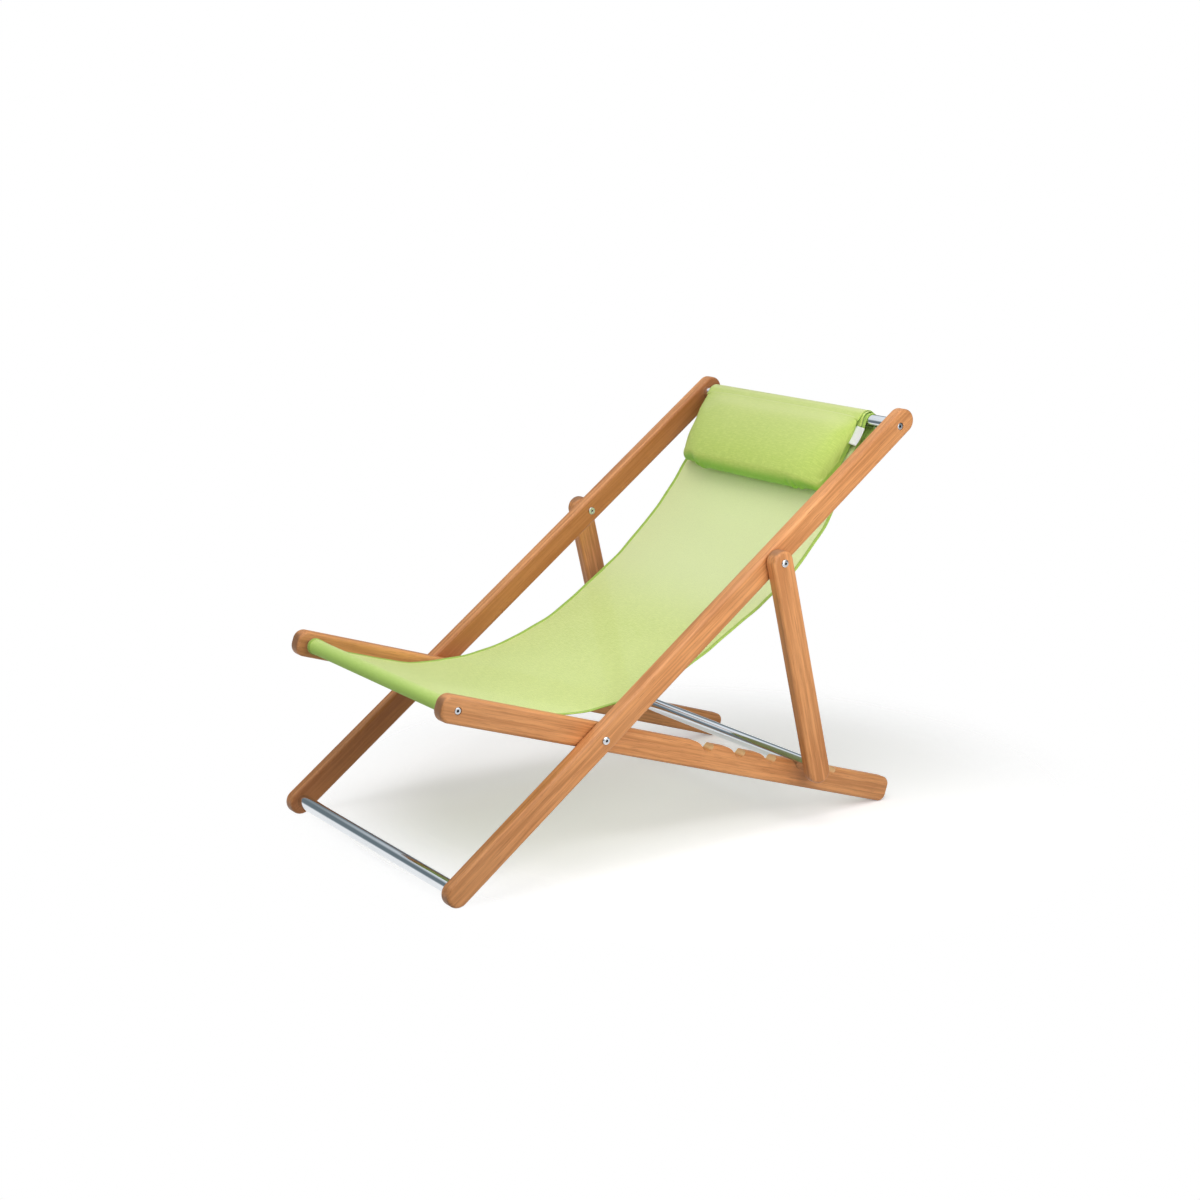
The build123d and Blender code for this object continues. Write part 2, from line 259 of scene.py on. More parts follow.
def new_piece(name, points, faces, uv=None, smooth_angle=40.0):
    """A mesh object at the origin from points and faces, with its normals turned outwards.
    uv, if given, holds one (u, v) in metres for each point."""
    mesh = bpy.data.meshes.new(name)
    places = np.asarray(points, float).reshape(-1, 3).tolist()
    mesh.from_pydata(places, [], [list(map(int, face)) for face in faces])
    if uv is not None:
        layer = mesh.uv_layers.new(name="cloth")
        loops = np.empty(len(mesh.loops), np.int32)
        mesh.loops.foreach_get("vertex_index", loops)
        layer.data.foreach_set("uv", np.asarray(uv, np.float32).reshape(-1, 2)[loops].ravel())
    tidy_mesh(mesh, smooth_angle, weld=uv is None)
    piece = bpy.data.objects.new(name, mesh)
    scene.collection.objects.link(piece)
    return piece


def tidy_mesh(mesh, smooth_angle, weld=True):
    """Weld double points, turn the faces outwards and shade smooth up to an angle in degrees."""
    work = bmesh.new()
    work.from_mesh(mesh)
    if weld:
        bmesh.ops.remove_doubles(work, verts=work.verts, dist=1e-6)
    bmesh.ops.recalc_face_normals(work, faces=work.faces)
    work.to_mesh(mesh)
    work.free()
    mesh.polygons.foreach_set("use_smooth", np.ones(len(mesh.polygons), bool))
    mesh.set_sharp_from_angle(angle=math.radians(smooth_angle))
    mesh.update()


def finished(piece):
    """Replace a piece's mesh by what its modifiers make of it, and drop the modifiers."""
    depsgraph = bpy.context.evaluated_depsgraph_get()
    depsgraph.update()
    mesh = bpy.data.meshes.new_from_object(piece.evaluated_get(depsgraph))
    piece.modifiers.clear()
    old = piece.data
    piece.data = mesh
    bpy.data.meshes.remove(old)
    mesh.name = piece.name


def points_of(piece):
    """A piece's points as an array."""
    points = np.empty(len(piece.data.vertices) * 3)
    piece.data.vertices.foreach_get("co", points)
    return points.reshape(-1, 3)


def thicken(piece, thickness):
    """Give a sheet its thickness, half on either side."""
    solid = piece.modifiers.new("cloth thickness", "SOLIDIFY")
    solid.thickness = thickness
    solid.offset = 0.0


def to_side_view(x, points):
    """Points in space from x and (y, z) pairs, broadcast against each other."""
    return stacked(x, points[..., 0], points[..., 1])


def joined(parts):
    """One point array and one face list from several (points, faces) pairs."""
    points, faces, count = [], [], 0
    for part_points, part_faces in parts:
        part_points = np.asarray(part_points).reshape(-1, 3)
        points.append(part_points)
        faces += [[count + int(i) for i in face] for face in part_faces]
        count += len(part_points)
    return np.concatenate(points), faces


# Timber

def rail_outline(start, end, half_width, start_radius, end_radius, arc_steps=16, run_steps=30):
    """Outline of a timber as (along, across) points with outward normals: a rectangle from start to
    end whose corners are quarter circles, walked anticlockwise."""
    corners = [
        (end - end_radius, half_width - end_radius, end_radius),
        (start + start_radius, half_width - start_radius, start_radius),
        (start + start_radius, start_radius - half_width, start_radius),
        (end - end_radius, end_radius - half_width, end_radius),
    ]
    arcs, normals = [], []
    for quarter, (along, across, radius) in enumerate(corners):
        angle = math.pi / 2 * (quarter + np.linspace(0, 1, arc_steps + 1))
        normal = directions(angle)
        arcs.append(np.array([along, across]) + radius * normal)
        normals.append(normal)
    points, outward = [], []
    share = np.linspace(0, 1, run_steps, endpoint=False)[1:, None]
    for corner, normal, following in zip(arcs, normals, arcs[1:] + arcs[:1]):
        points += [corner, corner[-1] + share * (following[0] - corner[-1])]
        outward += [normal, np.repeat(normal[-1:], len(share), 0)]
    return np.concatenate(points), np.concatenate(outward)


def on_timber(origin, along, flat):
    """Side view places of (along, across) points of a timber."""
    return origin + flat[..., :1] * along + flat[..., 1:] * square(along)


def timber(name, x, origin, along, outline, normals):
    """A timber with rounded edges: the outline, drawn in by the profile of a quarter round at each
    face, carried from one face to the other; the flat faces are single polygons."""
    turn = np.linspace(0, math.pi / 2, 9)
    rise = np.concatenate([[half_rail], half_rail - edge_round + edge_round * np.cos(turn)])
    inset = np.concatenate([[edge_round + face_margin], edge_round - edge_round * np.sin(turn)])
    rise = np.concatenate([rise, -rise[::-1]])
    inset = np.concatenate([inset, inset[::-1]])
    flat = outline[None] - inset[:, None, None] * normals[None]
    points = to_side_view(x + rise[:, None], on_timber(origin, along, flat))
    return new_piece(name, points, capped_quads(*flat.shape[:2]), smooth_angle=timber_smooth)


def prism(outline, x_low, x_high):
    """A straight prism between two x places over a closed side view outline."""
    points = to_side_view(np.array([[x_low], [x_high]]), np.stack([outline, outline]))
    return points, capped_quads(2, len(outline))


def circle(middle, radius, steps=64):
    """Side view circle."""
    return middle + radius * directions(round_angles(steps))


def cut(piece, prisms):
    """Take prisms out of a piece."""
    points, faces = joined(prisms)
    cutter = new_piece("cutter", points, faces)
    change = piece.modifiers.new("cut", "BOOLEAN")
    change.operation = "DIFFERENCE"
    change.solver = "EXACT"
    change.object = cutter
    finished(piece)
    bpy.data.objects.remove(cutter)
    tidy_mesh(piece.data, timber_smooth)


def arc(middle, radius, first, last, steps):
    """Side view arc round a middle from one angle to another, in radians."""
    return np.asarray(middle) + radius * directions(np.linspace(first, last, steps))


def notch_outline():
    """One notch as (along, across) from the bar's place on the rail: a rounded shoulder that turns into
    a pocket a little wider than the bar, and a mouth above the rail."""
    rise = (bar_axis - main_pivot) @ square(seat_along)
    pocket = tube_radius + notch_clearance
    drop = seat_half_width - rise
    shoulder = (notch_lead**2 + drop**2 - pocket**2) / (2 * (pocket + drop))
    towards_pocket = math.atan2(shoulder - drop, notch_lead)
    shoulder_arc = arc((-notch_lead, seat_half_width - shoulder), shoulder, math.pi / 2, towards_pocket, 16)
    pocket_arc = arc((0, rise), pocket, towards_pocket + math.pi, 2 * math.pi + math.asin(drop / pocket), 32)
    mouth_height = seat_half_width + notch_lead
    mouth = np.array([[pocket_arc[-1, 0], mouth_height], [-notch_lead, mouth_height]])
    return np.concatenate([shoulder_arc, pocket_arc[1:], mouth])


def screw_recess(side, timber_x, axis):
    """The round recess of a screw head in a timber's outer face."""
    outer_x = timber_x + half_rail
    inner, outer = side * (outer_x - screw_recess_depth), side * (outer_x + screw_recess_depth)
    return prism(circle(axis, screw_recess_radius), inner, outer)


def build_timbers(kind, body, finish, origin, along, shape, cuts=None):
    """The left and right timber of a kind from their outline and its normals. cuts, if given, is called with
    a side and lists the prisms to take out there."""
    x = centre(f"{kind}_left")[0]
    for side, word in SIDES.items():
        piece = timber(f"timber_{kind}_{word}", side * x, origin, along, *shape)
        if cuts:
            cut(piece, cuts(side))
        dress(piece, finish, body, "oiled_hardwood", f"{kind}_{word}")


def round_ended(kind, half_width, along):
    """Where a kind of round ended timber starts, and its outline with normals. It reaches from corner to
    corner of its node's box."""
    low, high = (np.array(corner[1:]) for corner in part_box(f"{kind}_left"))
    near, far = low + half_width, high - half_width
    first, last = np.where(along > 0, near, far), np.where(along > 0, far, near)
    length = np.linalg.norm(last - first)
    return first, rail_outline(-half_width, length + half_width, half_width, half_width, half_width)


def build_back_rails(finish):
    """Long timbers with round ends, with a screw recess at the top tube."""
    first, shape = round_ended("back_rail", back_half_width, back_along)
    build_timbers("back_rail", "back_frame", finish, first, back_along, shape,
                  lambda side: [screw_recess(side, back_rail_x, top_axis)])


def build_prop_legs(finish):
    """Shorter timbers with round ends that carry the prop bar."""
    first, shape = round_ended("prop_leg", prop_half_width, prop_along)
    build_timbers("prop_leg", "prop_frame", finish, first, prop_along, shape)


def build_seat_rails(finish):
    """Timbers with rounded corners, a row of notches on top and a screw recess at the front tube."""
    shape = rail_outline(-front_reach, rear_reach, seat_half_width, front_corner, rear_corner)
    bar_place = (bar_axis - main_pivot) @ seat_along
    places = bar_place + notch_pitch * (np.arange(notch_count) - (notch_in_use - 1))
    notch = notch_outline()
    notches = [on_timber(main_pivot, seat_along, notch + np.array([place, 0])) for place in places]

    def cuts(side):
        low, high = side * seat_rail_x - rail_thickness, side * seat_rail_x + rail_thickness
        prisms = [prism(outline, low, high) for outline in notches]
        return prisms + [screw_recess(side, seat_rail_x, front_axis)]

    build_timbers("seat_rail", "seat_frame", finish, main_pivot, seat_along, shape, cuts)


# Metal

def turned(profile, axis, side, steps, hexagon=None):
    """A turned piece about an axis along x: (x, radius) profile points carried round a circle. Where
    hexagon, one flag a profile point, is set, the ring is a hexagon of that inner radius instead."""
    angle = round_angles(steps)
    profile = np.asarray(profile, float)
    radius = np.repeat(profile[:, 1:], steps, 1)
    if hexagon is not None:
        corner = 1 / np.cos((angle + math.pi / 6) % (math.pi / 3) - math.pi / 6)
        radius = np.where(np.asarray(hexagon, bool)[:, None], radius * corner, radius)
    return stacked(side * profile[:, :1], axis[0] + radius * np.cos(angle), axis[1] + radius * np.sin(angle))


def build_tube(node, body, finish):
    """A polished tube: a ring of its wall section, with slightly broken ends, carried round its axis."""
    low, high = (corner[0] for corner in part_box(node))
    inner, rim = tube_radius - tube_wall, tube_radius - broken_edge
    profile = [
        (low, inner), (low, rim), (low + broken_edge, tube_radius), (0.0, tube_radius),
        (high - broken_edge, tube_radius), (high, rim), (high, inner),
    ]
    points = turned(profile, centre(node)[1:], 1, tube_steps)
    faces = grid_quads(len(profile), tube_steps, close_rows=True, close_columns=True)
    dress(new_piece(f"polished_{node}", points, faces), finish, body, "polished_tube", node)


def head_profile(head_radius, height, dome, stem_radius, stem_length):
    """Profile of a domed head with a hexagon socket, from the stem's end to the socket's floor, as (x,
    radius) with x from the head's seat, and the flags of its hexagon points."""
    crown = [(height - dome + dome * math.sin(a), head_radius - dome * 1.2 * (1 - math.cos(a)))
             for a in np.linspace(0, math.pi / 2, 8)]
    key, floor = key_width / 2, height - key_depth
    stem = [(-stem_length, 0.0), (-stem_length, stem_radius), (0.0, stem_radius), (0.0, head_radius)]
    socket = [(height, key + 0.0003), (height - 0.0003, key), (floor, key), (floor - 0.0004, 0.0)]
    flags = [False] * (len(stem) + len(crown)) + [True, True, True, False]
    return np.array(stem + crown + socket), flags


def build_heads(node, body, finish, seat, axis, head, inward=False):
    """The two matching screws, bolts or nuts of a pair, one at each side of the chair. The attribute named
    socket is 1 inside their hexagon sockets, where the steel finish paints shade."""
    profile, flags = head_profile(**head)
    outward = -1 if inward else 1
    profile[:, 0] = seat + outward * profile[:, 0]
    faces = grid_quads(len(profile), head_steps, close_columns=True)
    points, faces = joined([(turned(profile, axis, side, head_steps, flags), faces) for side in SIDES])
    heads = new_piece(f"steel_{node}", points, faces, smooth_angle=35)
    place = points_of(heads)
    reach = np.hypot(*(place[:, 1:] - axis).T)
    above = (np.abs(place[:, 0]) - seat) * outward
    inside = (reach < key_width * 0.65) & (above > 0) & (above < head["height"] - 0.0002)
    heads.data.attributes.new("socket", "FLOAT", "POINT").data.foreach_set("value", inside.astype(np.float32))
    dress(heads, finish, body, "fastener_steel", node)


# Cloth

down_back = np.array([-math.cos(sling_top_slope), -math.sin(sling_top_slope)])
off_back = -square(down_back)
down_seat = np.array([math.cos(sling_front_slope), -math.sin(sling_front_slope)])
off_seat = square(down_seat)


def even_steps(path, spacing):
    """The same path with points at even steps, and its length."""
    reach = distance_along(path)
    place = np.linspace(0, reach[-1], int(round(reach[-1] / spacing)) + 1)
    return np.stack([np.interp(place, reach, path[:, k]) for k in range(path.shape[1])], -1), reach[-1]


def softened(path, spacing, width):
    """Path points averaged over a bell of the given width, with both ends kept."""
    reach = int(3 * width / spacing)
    weight = np.exp(-0.5 * (np.arange(-reach, reach + 1) * spacing / width) ** 2)
    weight /= weight.sum()
    padded = np.concatenate([2 * path[0] - path[reach:0:-1], path, 2 * path[-1] - path[-2:-reach - 2:-1]])
    return np.stack([np.convolve(padded[:, k], weight, "valid") for k in range(path.shape[1])], -1)


def rounded_corner(before, corner, after, radius, steps=60):
    """Side view arc that rounds the corner of a path, tangent to its two runs."""
    first, second = unit(corner - before), unit(after - corner)
    turn = math.atan2(first[0] * second[1] - first[1] * second[0], first @ second)
    start = corner - first * radius * math.tan(abs(turn) / 2)
    middle = start + math.copysign(radius, turn) * square(first)
    angle = np.linspace(0, turn, steps)[:, None]
    spoke = start - middle
    return middle + np.cos(angle) * spoke + np.sin(angle) * square(spoke)


def loop_round_tube(axis, down, off, radius):
    """The cloth's way round a tube, from the seam on the sheet up its outer side, round the tube and back
    to the seam on its inner side: two lines from the seam that touch a circle, and the circle's far arc."""
    touch = math.acos(radius / loop_seam_reach)
    angle = np.linspace(touch, 2 * math.pi - touch, 40)[:, None]
    round_tube = axis + radius * (np.cos(angle) * down + np.sin(angle) * off)
    tail = axis + down * np.array([[loop_seam_reach], [loop_seam_reach + loop_tail]]) - off * cloth * 1.6
    return np.concatenate([round_tube, tail])


def sling_path():
    """Side view path of the sling's cloth, from the tail of its top loop to the tail of its front loop."""
    top_loop = loop_round_tube(top_axis, down_back, off_back, loop_radius)
    front_loop = loop_round_tube(front_axis, down_seat, off_seat, loop_radius)
    back_corner = top_axis + down_back * sling_back_run
    seat_corner = front_axis + down_seat * sling_seat_run
    path = np.concatenate([
        top_loop[::-1],
        top_axis[None] + down_back * loop_seam_reach,
        rounded_corner(top_axis, back_corner, seat_corner, sling_back_radius),
        rounded_corner(back_corner, seat_corner, front_axis, sling_seat_radius),
        front_axis[None] + down_seat * loop_seam_reach,
        front_loop,
    ])
    fine, _ = even_steps(path, sling_step / 4)
    return even_steps(softened(fine, sling_step / 4, sling_softness), sling_step)


def path_normals(path):
    """Side view normals of a path, on the sitter's side of the sling."""
    tangent = np.gradient(path, axis=0)
    tangent /= np.linalg.norm(tangent, axis=1, keepdims=True)
    return np.stack([tangent[:, 1], -tangent[:, 0]], -1)


def smooth_step(value, low, high):
    share = np.clip((value - low) / (high - low), 0, 1)
    return share * share * (3 - 2 * share)


def sling_surface(path, length):
    """What the sling and its hems share: distance along the path, half width there (drawn in at the top
    loop) and the small waves of the free side edges."""
    along = np.linspace(0, length, len(path))
    half_width = sling_half_width - top_loop_inset * (1 - smooth_step(along, 0.16, 0.27))
    free = smooth_step(along, 0.20, 0.34) * (1 - smooth_step(along, length - 0.30, length - 0.16))
    wave = np.sin(along * 41 + 0.6) + 0.7 * np.sin(along * 67 + 2.1) + 0.5 * np.sin(along * 103 + 4.0)
    return along, half_width, 0.0005 * free * wave


def sling_hang(along, across):
    """How unevenly the sling hangs, as a distance off its side view path at places -1 to 1 across it: deeper
    all along its right edge, deeper behind the shoulders and tighter under the seat along its left edge. Each
    edge's share fades with the square of the distance to the other edge."""
    right = -0.004 * smooth_step(along, 0.20, 0.30) * (1 - smooth_step(along, 0.93, 1.03))
    left = -0.0075 * smooth_step(along, 0.25, 0.31) * (1 - smooth_step(along, 0.39, 0.53))
    left = left + 0.0070 * smooth_step(along, 0.48, 0.60) * (1 - smooth_step(along, 0.92, 1.04))
    return left * ((1 + across) / 2) ** 2 + right * ((1 - across) / 2) ** 2


def build_sling(mesh_finish, hem_finish):
    """The sling: its side view path carried across the chair, with small waves towards the free edges and
    a slight hollow between them; and its side hems, a flat rounded section carried along both edges."""
    path, length = sling_path()
    normals = path_normals(path)
    along, half_width, wave = sling_surface(path, length)
    across = np.linspace(-1, 1, 57)
    free = smooth_step(along, 0.18, 0.5) * (1 - smooth_step(along, length - 0.5, length - 0.2))
    free = free * (np.abs(wave) > 0)
    hollow = -sling_hollow * (1 - across**2) * free[:, None]
    edge = np.abs(across) ** 5 * np.sign(across)
    lift = wave[:, None] * edge + hollow + sling_hang(along[:, None], across[None])
    x = half_width[:, None] * across
    points = to_side_view(x, path[:, None] + lift[..., None] * normals[:, None])
    uv = stacked(x, along[:, None])
    sling = new_piece("sling_cloth", points, grid_quads(*x.shape), uv=uv, smooth_angle=cloth_smooth)

    cosine, sine = directions(round_angles(14)).T
    across_hem = hem_width / 2 * np.sign(cosine) * np.abs(cosine) ** 0.55
    off_hem = hem_thickness / 2 * np.sign(sine) * np.abs(sine) ** 0.8
    strips, strip_uv = [], []
    for side in SIDES:
        x = side * (half_width[:, None] - hem_width / 2 + across_hem)
        lift = (wave * side + sling_hang(along, side))[:, None] + off_hem
        points = to_side_view(x, path[:, None] + lift[..., None] * normals[:, None])
        strips.append((points, capped_quads(*x.shape)))
        strip_uv.append(stacked(x, along[:, None]).reshape(-1, 2))
    points, faces = joined(strips)
    hems = new_piece("sling_hems", points, faces, uv=np.concatenate(strip_uv), smooth_angle=cloth_smooth)

    for piece, finish in ((sling, mesh_finish), (hems, hem_finish)):
        piece.data.materials.append(finish)
        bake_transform(piece)
    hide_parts("sling")


# Headrest: places are (x, down the sling from the top tube's axis, off the sling towards the sitter)

def headrest_place(x, down, off):
    """Points in space from headrest places."""
    side = top_axis + down[..., None] * down_back + off[..., None] * off_back
    return to_side_view(x, side)


def arc_through(first, middle, last, steps):
    """Arcs through three points each, for arrays of points: the circle's middle is where the two
    perpendicular bisectors meet, and the angle runs evenly from the first point to the last."""
    (ax, ay), (bx, by), (cx, cy) = (np.moveaxis(p, -1, 0) for p in (first, middle, last))
    double = 2 * (ax * (by - cy) + bx * (cy - ay) + cx * (ay - by))
    a2, b2, c2 = ax**2 + ay**2, bx**2 + by**2, cx**2 + cy**2
    mx = (a2 * (by - cy) + b2 * (cy - ay) + c2 * (ay - by)) / double
    my = (a2 * (cx - bx) + b2 * (ax - cx) + c2 * (bx - ax)) / double
    angles = [np.arctan2(y - my, x - mx) for x, y in ((ax, ay), (bx, by), (cx, cy))]
    turns = [(b - a + math.pi) % (2 * math.pi) - math.pi for a, b in zip(angles, angles[1:])]
    angle = angles[0][..., None] + (turns[0] + turns[1])[..., None] * np.linspace(0, 1, steps)
    radius = np.hypot(ax - mx, ay - my)[..., None]
    return np.stack([mx[..., None] + radius * np.cos(angle), my[..., None] + radius * np.sin(angle)], -1)


def across_cushion(x):
    """Places -1 to 1 across the cushion."""
    return (2 * x - cushion_left_end - cushion_right_end) / (cushion_left_end - cushion_right_end)


def fullness_at(across):
    """How full the cushion is at places -1 to 1 across it: the square root of 1 - across to the fourth."""
    return np.sqrt(np.clip(1 - across**4, 0, 1))


def lift_at(across):
    """The angle at which the cloth leaves the tube, off the sling: less towards both ends."""
    return np.radians(4 + 14 * fullness_at(across))


def leaving_tube(radius, lift, reach=0.0):
    """Headrest places (down, off) where cloth leaves a circle round the tube at the lifts, and goes on
    straight for a reach."""
    sine, cosine = np.sin(lift), np.cos(lift)
    return np.stack([-radius * sine + reach * cosine, radius * cosine + reach * sine], -1)


def cushion_sections(across):
    """Closed outlines of the cushion as (down, off) for places -1 to 1 across it: a long top arc that leaves
    the flap without a break, a round end, a flat back on the sling and a slanted throat under the flap. The
    thickness and length are drawn in towards both ends, with the corners tucked up."""
    fullness, lift = fullness_at(across), lift_at(across)
    thickness = cushion_thickness * (0.44 + 0.56 * fullness)
    tuck = 0.006 * smooth_step(-across, 0.68, 0.80) + 0.002 * smooth_step(across, 0.72, 0.84)
    length = cushion_length * (0.95 + 0.05 * fullness) - tuck
    depth = thickness - cushion_back

    def place(down, off):
        return stacked(down, off, across)[..., :2]

    def run(first, last, steps):
        share = np.linspace(0, 1, steps)[:, None]
        return first[:, None] + share * (last - first)[:, None]

    neck = leaving_tube(cushion_neck, lift, neck_reach)
    throat = place(throat_reach, flap_middle - neck_gap)
    toe = place(length * 0.93, cushion_back)
    nose = place(length, cushion_back + 0.34 * depth)
    brow = place(length * 0.89, cushion_back + 0.81 * depth)
    seat = place(cushion_seat_start, cushion_back)
    chord = brow - neck
    slope = np.arctan2(chord[:, 1], chord[:, 0])
    swell = np.tan((lift - slope) / 2) / 2
    halfway = (neck + brow) / 2 + swell[:, None] * np.stack([-chord[:, 1], chord[:, 0]], -1)
    top = arc_through(neck, halfway, brow, 32)
    end = arc_through(brow, nose, toe, 18)
    return np.concatenate([top, end[:, 1:], run(toe, seat, 18)[:, 1:], run(seat, throat, 8)[:, 1:]], 1)


def cushion_shape():
    """The cushion before it is filled: its sections carried from end to end, closed by end panels that
    shrink towards their middle while they bulge a little. Both ends are drawn in towards the bottom, the
    right one more."""
    across = np.linspace(-1, 1, 83)
    sections = cushion_sections(across)
    shrink = np.array([0.86, 0.62, 0.34, 0.06])
    bulge = panel_bulge * np.sqrt(1 - shrink**2)
    rows, share, swell = [sections], [across], [np.zeros_like(across)]
    for end, at in ((0, -1), (-1, 1)):
        heart = sections[end].mean(0)
        panel = heart + shrink[:, None, None] * (sections[end] - heart)
        order = slice(None, None, at)
        place = 0 if at < 0 else len(rows)
        rows.insert(place, panel[order])
        share.insert(place, np.full(len(shrink), float(at)))
        swell.insert(place, at * bulge[order])
    sections = np.concatenate(rows)
    down = sections[..., 0]
    left = cushion_left_end - panel_slack - 0.005 * smooth_step(down, 0.10, 0.15)
    right = cushion_right_end + panel_slack
    right = right + 0.008 * smooth_step(down, 0.03, 0.10) + 0.013 * smooth_step(down, 0.09, 0.15)
    x = right + (left - right) * (np.concatenate(share)[:, None] + 1) / 2 + np.concatenate(swell)[:, None]
    return sections, x


def eased(moves, passes):
    """Moves of a grid of points, closed along its columns, averaged with their neighbours' a few times."""
    for _ in range(passes):
        beside = np.concatenate([moves[:1], moves, moves[-1:]])
        moves = (4 * moves + beside[:-2] + beside[2:] + np.roll(moves, 1, 1) + np.roll(moves, -1, 1)) / 8
    return moves


def fill_cushion(piece, pinned):
    """Fill the cushion with a cloth simulation under inner pressure, its neck pinned to the flap, cap how far
    any point may move, and ease the moves so that the cloth stays smooth."""
    rest = points_of(piece)
    group = piece.vertex_groups.new(name="neck")
    group.add([int(i) for i in np.flatnonzero(pinned.ravel())], 1.0, "REPLACE")
    fill = piece.modifiers.new("filling", "CLOTH")
    settings = dict(
        quality=6, mass=0.25, tension_stiffness=18, compression_stiffness=12, shear_stiffness=6,
        bending_stiffness=0.6, use_pressure=True, uniform_pressure_force=4, vertex_group_mass=group.name)
    for name, value in settings.items():
        setattr(fill.settings, name, value)
    fill.settings.effector_weights.gravity = 0
    fill.point_cache.frame_start = 1
    fill.point_cache.frame_end = fill_frames
    for step in range(1, fill_frames + 1):
        scene.frame_set(step)
    finished(piece)
    scene.frame_set(1)
    move = points_of(piece) - rest
    reach = np.linalg.norm(move, axis=1, keepdims=True)
    move *= np.minimum(1, fill_cap / np.maximum(reach, 1e-9))
    return rest + eased(move.reshape(pinned.shape + (3,)), fill_easing).reshape(-1, 3)


def bell(offset, width):
    """Bell curve: e to the power of minus the square of offset over width."""
    return np.exp(-(offset / width) ** 2)


def cushion_sewing(points):
    """Moves of the filled cushion's points: the back stays on the sling, the lower corners get small pleats,
    and a seam draws in round each end panel. Places are as headrest_place takes them."""
    x = points[:, 0]
    side = points[:, 1:] - top_axis
    down, off = side @ down_back, side @ off_back
    pleat = np.zeros_like(x)
    low = smooth_step(down, 0.134, 0.150) * smooth_step(-off, -0.036, -0.020)
    for at, lean in pleats:
        line = at + lean * (0.150 - down)
        pleat += low * (bell(x - line, 0.0030) - 0.6 * bell(x - line - 0.007, 0.0045))
    seam = bell(x - cushion_left_end + seam_inset, seam_width)
    seam += bell(x - cushion_right_end - seam_inset, seam_width)
    outward = np.stack([down, off], -1) - cushion_heart
    outward /= np.linalg.norm(outward, axis=1, keepdims=True) + 1e-9
    draw = -pleat_depth * pleat - seam_depth * seam
    down, off = down + draw * outward[:, 0], off + draw * outward[:, 1]
    off = np.maximum(off, cushion_back - cushion_sink)
    return headrest_place(x, down, off)


def build_cushion(finish):
    """The stuffed body of the headrest."""
    sections, x = cushion_shape()
    points = headrest_place(x, sections[..., 0], sections[..., 1])
    uv = np.stack([x, distance_along(sections, 1)], -1)
    cushion = new_piece("headrest_cushion", points, capped_quads(*x.shape), uv=uv, smooth_angle=all_smooth)
    pinned = sections[..., 0] < pinned_reach
    filled = fill_cushion(cushion, pinned)
    cushion.data.vertices.foreach_set("co", cushion_sewing(filled).ravel())
    cushion.data.update()
    smooth = cushion.modifiers.new("smooth", "SUBSURF")
    smooth.levels = smooth.render_levels = 1
    dress(cushion, finish, "headrest", "headrest_cloth", "headrest_cover", "headrest_filling")


def flap_layer(name, x, front, radius, drop):
    """One flap layer, its side view path carried across at the places x: from its front end (down, off) in a
    straight line to where it meets a circle round the tube, over the tube and straight down behind it, where
    it billows a little. Gives the piece and its mean length."""
    reach = np.hypot(front[:, 0], front[:, 1])
    bearing = np.arctan2(front[:, 0], front[:, 1]) - np.arccos(np.clip(radius / reach, -1, 1))
    start = top_axis + front[:, :1] * down_back + front[:, 1:] * off_back
    first = math.atan2(off_back[1], off_back[0]) + bearing
    over = top_axis + radius * directions(first * np.linspace(1, 0, 32)[:, None])
    before = start + np.linspace(0, 1, 6)[:-1, None, None] * (over[0] - start)
    fall = np.linspace(0, drop, 16)[1:]
    fold = 0.5 + 0.30 * np.sin(x * 31 + 0.4) + 0.20 * np.sin(x * 57 + 2.0)
    billow = flap_billow * np.sin(math.pi * np.clip(fall / flap_drop, 0, 1))[:, None] * fold
    behind = stacked(top_axis[0] + radius + billow, top_axis[1] - fall[:, None])
    side = np.concatenate([before, over, behind])
    along = distance_along(side)
    uv = stacked(x[None], along)
    points = to_side_view(x[None], side)
    layer = new_piece(name, points, grid_quads(*along.shape), uv=uv, smooth_angle=cloth_smooth)
    thicken(layer, flap_cloth)
    return layer, float(along[-1].mean())


def build_flap(finish):
    """The cloth over the top tube: an outer layer from the cushion to the rear hem, a shorter lining under
    it, and the rolled hem round its weight."""
    x = np.linspace(flap_right_end, flap_left_end, flap_columns)
    radius = flap_middle + flap_clearance
    front = leaving_tube(radius, lift_at(across_cushion(x)), flap_reach)
    outer, length = flap_layer("flap_outer", x, front, radius, flap_drop - rear_hem_overlap)
    lining_x = np.linspace(flap_right_end + lining_inset, flap_left_end + lining_show, flap_columns)
    front = np.broadcast_to(lining_front, (len(lining_x), 2))
    radius = flap_middle - lining_under
    lining, lining_length = flap_layer("flap_lining", lining_x, front, radius, lining_drop)
    ends = np.array([0, 0, 0.001])
    hem_x = np.concatenate([flap_right_end + ends, [0.0], flap_left_end - ends[::-1]])[:, None]
    hem_radius = rear_hem_radius - np.array([0.0010, 0.0004, 0, 0, 0, 0.0004, 0.0010])
    angle = round_angles(28)
    side = top_axis + np.array([flap_middle, -flap_drop]) + hem_radius[:, None, None] * directions(angle)
    uv = stacked(hem_x, angle * rear_hem_radius)
    faces = grid_quads(len(hem_x), len(angle), close_columns=True)
    hem = new_piece("flap_hem", to_side_view(hem_x, side), faces, uv=uv)
    dress(outer, finish, "headrest", "headrest_cloth", "headrest_flap")
    dress(lining, finish, "headrest", "headrest_cloth")
    dress(hem, finish, "headrest", "headrest_cloth")


